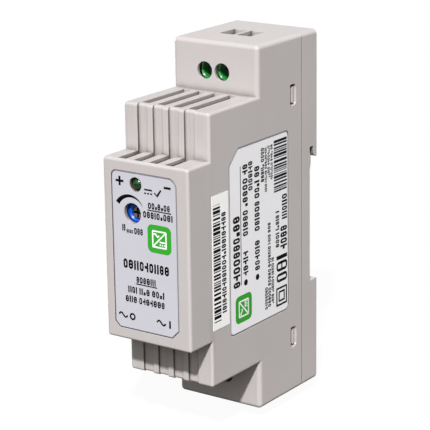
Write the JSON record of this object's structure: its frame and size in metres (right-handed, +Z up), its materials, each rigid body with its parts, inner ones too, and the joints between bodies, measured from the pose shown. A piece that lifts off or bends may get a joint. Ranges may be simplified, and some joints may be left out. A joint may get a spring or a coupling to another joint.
{
  "type": "din rail power supply",
  "caption": "Slim stepped power supply module that clips to a 35 mm rail, with screw terminals at both ends, an indicator and a trimmer.",
  "frame": {"origin": "on the rail's centreline, at mid-width, on the face that rests on the rail", "axes": "+Z up along the tall side, +Y towards the rail, -Y out of the front panel, +X to the right seen from the front"},
  "size_m": [0.0251, 0.0564, 0.0965],
  "materials": {
    "case_plastic": "fine moulded texture",
    "clip_plastic": "fine moulded texture",
    "spring_steel": "drawn wire",
    "panel_film": "printed film",
    "label_film": "printed film",
    "sticker_paper": "printed label",
    "board_laminate": "solder mask",
    "insulation_film": "satin",
    "terminal_plastic": "moulded",
    "plated_steel": "zinc plated",
    "tinned_copper": "tinned",
    "header_plastic": "moulded",
    "package_black": "moulded epoxy",
    "led_lens": "clear tinted",
    "trimmer_blue": "moulded",
    "rotor_metal": "pressed",
    "ferrite": "ground",
    "bobbin_plastic": "moulded",
    "winding_tape": "polyester tape",
    "enamelled_wire": "enamelled",
    "capacitor_sleeve": "shrink sleeve",
    "film_box": "moulded box",
    "disc_blue": "lacquered",
    "disc_green": "lacquered",
    "spreader_aluminium": "sheet"
  },
  "bodies": {
    "case": {"bridge_rectifier": "package_black", "bulk_capacitor": "capacitor_sleeve", "choke_base": "bobbin_plastic", "choke_core": "ferrite", "choke_windings": "enamelled_wire", "control_ic": "package_black", "core_tape": "winding_tape", "front_housing": "case_plastic", "front_label": "panel_film", "fuse": "package_black", "heat_spreader": "spreader_aluminium", "inductor_winding": "enamelled_wire", "input_contacts": "tinned_copper", "input_terminal_block": "terminal_plastic", "inrush_thermistor": "disc_green", "insulation_sheet": "insulation_film", "led_leads": "tinned_copper", "main_board": "board_laminate", "optocoupler": "package_black", "output_capacitors": "capacitor_sleeve", "output_contacts": "tinned_copper", "output_diode": "package_black", "output_inductor": "ferrite", "output_terminal_block": "terminal_plastic", "power_switch": "package_black", "rear_cover": "case_plastic", "riser_board": "board_laminate", "riser_header": "header_plastic", "serial_sticker": "sticker_paper", "side_label": "label_film", "spreader_screw": "plated_steel", "status_led": "led_lens", "surge_varistor": "disc_blue", "transformer_bobbin": "bobbin_plastic", "transformer_core": "ferrite", "transformer_pins": "tinned_copper", "transformer_winding": "winding_tape", "trimmer_body": "trimmer_blue", "trimmer_pins": "tinned_copper", "x_capacitor": "film_box", "y_capacitor": "disc_blue"},
    "clip": {"rail_clip": "clip_plastic", "clip_spring": "spring_steel"},
    "trimmer": {"trimmer_rotor": "rotor_metal"},
    "output_screw_left": {"output_screw_left": "plated_steel"},
    "output_cage_left": {"output_cage_left": "plated_steel"},
    "output_screw_right": {"output_screw_right": "plated_steel"},
    "output_cage_right": {"output_cage_right": "plated_steel"},
    "input_screw_left": {"input_screw_left": "plated_steel"},
    "input_cage_left": {"input_cage_left": "plated_steel"},
    "input_screw_right": {"input_screw_right": "plated_steel"},
    "input_cage_right": {"input_cage_right": "plated_steel"}
  },
  "joints": [
    {"name": "clip_slide", "type": "slide", "parent": "case", "child": "clip", "axis": [0, 0, -1], "range_m": [0, 0.0035], "stiffness_N_per_m": 2500, "springref_m": -0.004, "deforming": ["clip_spring"]},
    {"name": "trimmer_turn", "type": "hinge", "parent": "case", "child": "trimmer", "pos_m": [-0.004, -0.0494, 0.0103], "axis": [0, 1, 0], "range_deg": [-130, 130]},
    {"name": "output_screw_left_turn", "type": "hinge", "parent": "case", "child": "output_screw_left", "pos_m": [-0.00309, -0.0165, 0.04], "axis": [0, 1, 0], "range_deg": [0, 1441]},
    {"name": "output_cage_left_lift", "type": "slide", "parent": "case", "child": "output_cage_left", "axis": [0, -1, 0], "range_m": [0, 0.002]},
    {"name": "output_screw_right_turn", "type": "hinge", "parent": "case", "child": "output_screw_right", "pos_m": [0.00199, -0.0165, 0.04], "axis": [0, 1, 0], "range_deg": [0, 1441]},
    {"name": "output_cage_right_lift", "type": "slide", "parent": "case", "child": "output_cage_right", "axis": [0, -1, 0], "range_m": [0, 0.002]},
    {"name": "input_screw_left_turn", "type": "hinge", "parent": "case", "child": "input_screw_left", "pos_m": [-0.00309, -0.0165, -0.038], "axis": [0, 1, 0], "range_deg": [0, 1441]},
    {"name": "input_cage_left_lift", "type": "slide", "parent": "case", "child": "input_cage_left", "axis": [0, -1, 0], "range_m": [0, 0.002]},
    {"name": "input_screw_right_turn", "type": "hinge", "parent": "case", "child": "input_screw_right", "pos_m": [0.00199, -0.0165, -0.038], "axis": [0, 1, 0], "range_deg": [0, 1441]},
    {"name": "input_cage_right_lift", "type": "slide", "parent": "case", "child": "input_cage_right", "axis": [0, -1, 0], "range_m": [0, 0.002]}
  ],
  "couplings": [
    {"joint": "output_screw_left_turn", "follows": "output_cage_left_lift", "rad_per_m": 12566},
    {"joint": "output_screw_right_turn", "follows": "output_cage_right_lift", "rad_per_m": 12566},
    {"joint": "input_screw_left_turn", "follows": "input_cage_left_lift", "rad_per_m": 12566},
    {"joint": "input_screw_right_turn", "follows": "input_cage_right_lift", "rad_per_m": 12566}
  ]
}
